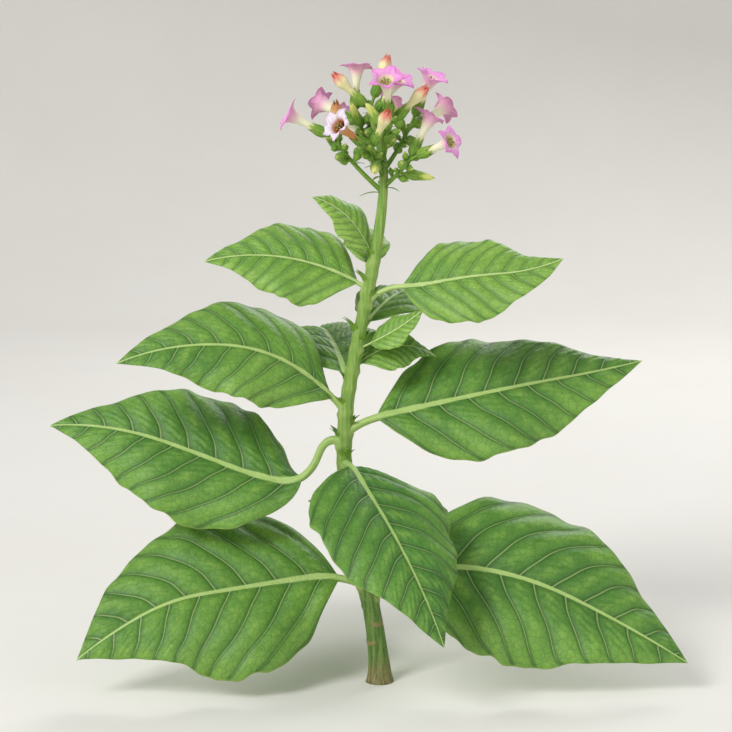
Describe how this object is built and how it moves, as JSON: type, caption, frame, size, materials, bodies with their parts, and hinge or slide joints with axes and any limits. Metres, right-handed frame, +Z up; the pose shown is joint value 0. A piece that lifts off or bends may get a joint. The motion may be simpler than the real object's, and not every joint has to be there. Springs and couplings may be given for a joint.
{
  "type": "tobacco plant",
  "caption": "Flowering tobacco plant rooted in level ground: a bent green stem, broad stalked leaves and a loose head of pink tubular flowers and buds.",
  "frame": {"origin": "middle of the flat cut under the stem, at ground level", "axes": "+Z up, +X to the viewer's right in the front view, +Y away from the viewer"},
  "size_m": [0.9061, 0.5934, 0.8951],
  "materials": {
    "stem": "ribbed green stem with fine hairs, paler and woody at the foot",
    "leaf": "soft half-gloss green blade with sunken side veins and a pale midrib",
    "head_green": "hairy green stalks, calyces and buds",
    "bud_green": "ribbed green buds with fine hairs",
    "petal": "satin pink petals, cream throat and tube",
    "petal_faded": "papery pale lilac petals, brown throat",
    "bud_tube": "cream tube with a salmon red tip and fine hairs"
  },
  "bodies": {
    "root": {"faded_flower_1": "petal_faded", "head_branch_1": "head_green", "head_branch_2": "head_green", "head_branch_3": "head_green", "head_branch_4": "head_green", "head_branch_5": "head_green", "head_branch_6": "head_green", "head_branch_7": "head_green", "leaf_front": "leaf", "leaf_low_back": "leaf", "leaf_low_left": "leaf", "leaf_low_right": "leaf", "leaf_middle_back": "leaf", "leaf_middle_left": "leaf", "leaf_middle_right": "leaf", "leaf_small_right": "leaf", "leaf_top_back": "leaf", "leaf_top_left": "leaf", "leaf_top_small": "leaf", "leaf_upper_back": "leaf", "leaf_upper_left": "leaf", "leaf_upper_right": "leaf", "leaf_young_right": "leaf", "open_flower_1": "petal", "open_flower_10": "petal", "open_flower_11": "petal", "open_flower_2": "petal", "open_flower_3": "petal", "open_flower_4": "petal", "open_flower_5": "petal", "open_flower_6": "petal", "open_flower_7": "petal", "open_flower_8": "petal", "open_flower_9": "petal", "spent_flower_1": "bud_tube", "stem": "stem", "top_green_bud_1": "bud_green", "top_young_bud_1": "bud_green", "tube_flower_1": "bud_tube", "tube_flower_2": "bud_tube", "tube_flower_3": "bud_tube", "tube_flower_4": "bud_tube"}
  },
  "joints": []
}
